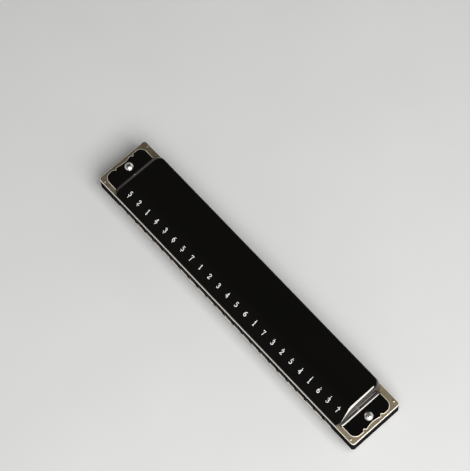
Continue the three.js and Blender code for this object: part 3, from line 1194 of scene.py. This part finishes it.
def bolt_profile():
    """Radius and height from the tail, up the shank and over the head."""
    end = -BOLT_LENGTH
    profile = [(0, end), (BOLT_RADIUS - BOLT_TAIL_EDGE, end), (BOLT_RADIUS, end + BOLT_TAIL_HEIGHT)]
    z = end + THREAD_START
    while z < end + THREAD_LENGTH:
        profile.append((BOLT_RADIUS, z))
        z += THREAD_PITCH / THREAD_RINGS
    profile += [(BOLT_RADIUS, 0), (HEAD_RADIUS - HEAD_RIM, 0)]
    profile += [(HEAD_RADIUS, HEAD_RIM), (HEAD_RADIUS, HEAD_EDGE)]
    rise = HEAD_HEIGHT - HEAD_EDGE
    ball = (HEAD_RADIUS ** 2 + rise ** 2) / 2 / rise
    tilt = math.asin(HEAD_RADIUS / ball)
    for step in range(1, HEAD_STEPS):
        angle = tilt * (1 - step / HEAD_STEPS)
        profile.append((ball * math.sin(angle), HEAD_HEIGHT - ball * (1 - math.cos(angle))))
    return profile + [(0, HEAD_HEIGHT)]


def threaded_bolt():
    points, faces = lathe(bolt_profile(), BOLT_SIDES)
    low = -BOLT_LENGTH + BOLT_TAIL_HEIGHT
    high = -BOLT_LENGTH + THREAD_LENGTH
    cut = []
    for x, y, z in points:
        share = 1
        if low < z < high:
            share -= thread_depth(math.atan2(y, x), z) / BOLT_RADIUS
        cut.append((x * share, y * share, z))
    return cut, faces


def cross_outline(reach, half):
    """A cross against the clock, from the three corners of one arm turned four times."""
    points = []
    for turn in range(4):
        for x, y in ((reach, -half), (reach, half), (half, half)):
            for _ in range(turn):
                x, y = -y, x
            points.append((x, y))
    return points


def cross_cutter():
    low = cross_outline(RECESS_REACH * RECESS_FLOOR_SHARE, RECESS_HALF - RECESS_TAPER)
    high = cross_outline(RECESS_REACH + RECESS_TAPER, RECESS_HALF + RECESS_TAPER)
    floor = HEAD_HEIGHT - RECESS_DEPTH
    top = HEAD_HEIGHT + RECESS_TAPER
    return capped([(x, y, floor) for x, y in low], [(x, y, top) for x, y in high])


def set_on_flange(fastener, side, turn, half, node):
    """Turns a fastener and sets it on a flange, where a bolt passes."""
    place = Matrix.Translation((side * BOLT_X * MM, 0, SHEET * MM))
    fastener.data.transform(place @ Matrix.Rotation(math.radians(turn), 4, "Z"))
    stand(fastener, half, [node])


def make_bolt(name, side, turn):
    screw = solid(name + "_screw", threaded_bolt(), fastener_finish)
    clean(screw.data)
    # The cross recess takes the darker colour, which is painted shade
    boolean(screw, solid("recess", cross_cutter(), recess_shade_finish), "DIFFERENCE")
    smooth(screw.data, METAL_SMOOTHING)
    set_on_flange(screw, side, turn, "upper", name + "_bolt")


def nut_tool(name, end_profile):
    """A turned body as long as the nut, whose upper end mirrors the profile of its lower end."""
    upper = [(radius, NUT_HEIGHT - z) for radius, z in reversed(end_profile)]
    profile = [(0, end_profile[0][1]), *end_profile, *upper, (0, upper[-1][1])]
    return solid(name, lathe(profile, NUT_SIDES), fastener_finish)


def make_nut(name, side, turn):
    corner = NUT_ACROSS_FLATS / 2 / math.cos(math.pi / 6)
    nut = solid(name + "_hex_nut", prism(circle(0, 0, corner, 6), 0, NUT_HEIGHT), fastener_finish)
    start = NUT_ACROSS_FLATS / 2 - NUT_CHAMFER
    ends = (start - NUT_CHAMFER, corner + NUT_CHAMFER)
    chamfer = [(radius, (radius - start) * NUT_CHAMFER_SLOPE) for radius in ends]
    countersink = [(NUT_BORE + NUT_COUNTERSINK + NUT_CHAMFER, -NUT_CHAMFER), (NUT_BORE, NUT_COUNTERSINK)]
    boolean(nut, nut_tool("barrel", chamfer), "INTERSECT")
    boolean(nut, nut_tool("bore", countersink), "DIFFERENCE")
    clean(nut.data)
    smooth(nut.data, NUT_SMOOTHING)
    set_on_flange(nut, side, turn, "lower", name + "_nut")


def nail_places():
    """Two long rows of nails under the covers and one nail in each corner of the plate."""
    places = []
    for side_x in (-1, 1):
        for side_y in (-1, 1):
            places.append((side_x * (HALF_LENGTH - CORNER_NAIL_X), side_y * (HALF_WIDTH - CORNER_NAIL_Y)))
    for divider in range(0, COLUMNS + 1, NAIL_EVERY):
        x = (divider - COLUMNS / 2) * PITCH
        places += [(x, NAIL_FRONT_Y), (x, NAIL_BACK_Y)]
    return places


def make_nails(half):
    foot = NAIL_HEIGHT / 3
    profile = [(0, -NAIL_SINK), (NAIL_RADIUS, -NAIL_SINK), (NAIL_RADIUS, foot)]
    profile += round_head(NAIL_RADIUS, foot, NAIL_HEIGHT - foot, NAIL_STEPS)
    points, faces = lathe(profile, NAIL_SIDES)
    parts = [([(px + x, py + y, pz) for px, py, pz in points], faces) for x, y in nail_places()]
    nails = solid(half + "_nails", merged(parts), nail_finish)
    clean(nails.data)
    smooth(nails.data, METAL_SMOOTHING)
    stand(nails, half)


# Comb

def soften_edges(obj):
    rounded = obj.modifiers.new("edges", "BEVEL")
    rounded.width = HOLE_EDGE * MM
    rounded.segments = HOLE_EDGE_STEPS
    rounded.limit_method = "ANGLE"
    rounded.angle_limit = math.radians(HOLE_EDGE_ANGLE)
    rounded.harden_normals = True


def make_comb():
    """The comb's body, with an upper and a lower row of chambers that open at the mouth side."""
    low = comb_low.z - PLATE_TOP
    high = comb_high.z - PLATE_TOP
    mesh = plate_from_outline("comb_body", body_outline(), low, high, COMB_EDGE)
    for polygon in mesh.polygons:
        polygon.material_index = 0
    comb = new_object("comb_body", mesh, [comb_finish])
    front = -HALF_WIDTH - BACK_WALL
    back = HALF_WIDTH - BACK_WALL
    chambers = []
    for column in range(COLUMNS):
        x = (column - (COLUMNS - 1) / 2) * PITCH
        left = x - CHAMBER_WIDTH / 2
        right = x + CHAMBER_WIDTH / 2
        outline = [(left, front), (right, front), (right, back), (left, back)]
        chambers.append(prism(outline, high - CHAMBER_HEIGHT, high + BACK_WALL))
        chambers.append(prism(outline, low - BACK_WALL, low + CHAMBER_HEIGHT))
    chambers += bolt_holes(low - BACK_WALL, high + BACK_WALL)
    boolean(comb, solid("chambers", merged(chambers), chamber_finish), "DIFFERENCE")
    clean(comb.data, CUT_WELD)
    apply_modifiers(comb, soften_edges)
    smooth(comb.data, BLOCK_SMOOTHING)
    stand(comb, "upper", ["comb"])


# Making the pieces

for half in ("upper", "lower"):
    make_cover(half)
    make_plate(half)
    make_nails(half)
make_numbers()
for reed in reeds:
    make_reed(reed)
for name, side, turn in SCREWS:
    make_bolt(name, side, turn)
    make_nut(name, side, turn / 2)
make_comb()


# Floor, lamp, world and camera

def make_floor_finish():
    made = Shader("pale floor", (0.62, 0.62, 0.615), 0.0, 0.8)
    made.tint(made.noise(FLOOR_MOTTLE), [(0.61, 0.61, 0.605), (0.63, 0.63, 0.625)])
    return made.material


def make_floor():
    corners = [(-1, -1), (1, -1), (1, 1), (-1, 1)]
    points = [(x * FLOOR_REACH, y * FLOOR_REACH, 0) for x, y in corners]
    floor = solid("floor", (points, [(0, 1, 2, 3)]), make_floor_finish())
    floor.location.z = cad_box[0].z - FLOOR_GAP * MM


def make_lamp():
    """A soft lamp that faces the object."""
    width = LAMP_WIDTH * MM
    height = LAMP_HEIGHT * MM
    light = bpy.data.lights.new("right_lamp", "AREA")
    light.shape = "RECTANGLE"
    light.size = width
    light.size_y = height
    light.energy = LAMP_RADIANCE * math.pi * width * height
    lamp = bpy.data.objects.new("right_lamp", light)
    bpy.context.scene.collection.objects.link(lamp)
    turn = math.radians(LAMP_DIRECTION)
    rise = math.radians(LAMP_ELEVATION)
    place = Vector((math.cos(rise) * math.cos(turn), math.cos(rise) * math.sin(turn), math.sin(rise)))
    lamp.location = place * LAMP_DISTANCE * MM
    lamp.rotation_euler = place.to_track_quat("Z", "Y").to_euler()


def make_world():
    """A pale wall low down and a dark ceiling, dimmer on the left."""
    world = bpy.data.worlds.new("studio")
    bpy.context.scene.world = world
    world.use_nodes = True
    nodes = world.node_tree.nodes
    links = world.node_tree.links
    place = nodes.new("ShaderNodeTexCoord")
    split = nodes.new("ShaderNodeSeparateXYZ")
    ramp = nodes.new("ShaderNodeValToRGB")
    elements = ramp.color_ramp.elements
    while len(elements) < len(WORLD_LEVELS):
        elements.new(1.0)
    for element, (position, level) in zip(elements, WORLD_LEVELS):
        element.position = position
        element.color = (*(level * share for share in WORLD_TINT), 1)
    side = nodes.new("ShaderNodeMapRange")
    side.inputs["From Min"].default_value = WORLD_DIM_BAND[0]
    side.inputs["From Max"].default_value = WORLD_DIM_BAND[1]
    side.inputs["To Min"].default_value = WORLD_LEFT_SHARE
    side.inputs["To Max"].default_value = 1.0
    links.new(place.outputs["Generated"], split.inputs["Vector"])
    links.new(split.outputs["Z"], ramp.inputs["Fac"])
    links.new(split.outputs["X"], side.inputs["Value"])
    links.new(ramp.outputs["Color"], nodes["Background"].inputs["Color"])
    links.new(side.outputs["Result"], nodes["Background"].inputs["Strength"])


def make_camera():
    data = bpy.data.cameras.new("camera")
    data.lens = CAMERA_LENS
    data.sensor_width = SENSOR_WIDTH
    data.sensor_fit = "HORIZONTAL"
    data.clip_end = CAMERA_REACH * MM
    camera = bpy.data.objects.new("camera", data)
    bpy.context.scene.collection.objects.link(camera)
    place = Vector(CAMERA_PLACE) * MM
    look = Vector(CAMERA_TARGET) * MM - place
    turn = look.to_track_quat("-Z", "Y").to_matrix().to_4x4()
    roll = Matrix.Rotation(math.radians(CAMERA_ROLL), 4, "Z")
    camera.matrix_world = Matrix.Translation(place) @ turn @ roll
    bpy.context.scene.camera = camera


make_floor()
make_lamp()
make_world()
make_camera()
bpy.context.scene.view_settings.view_transform = "Standard"
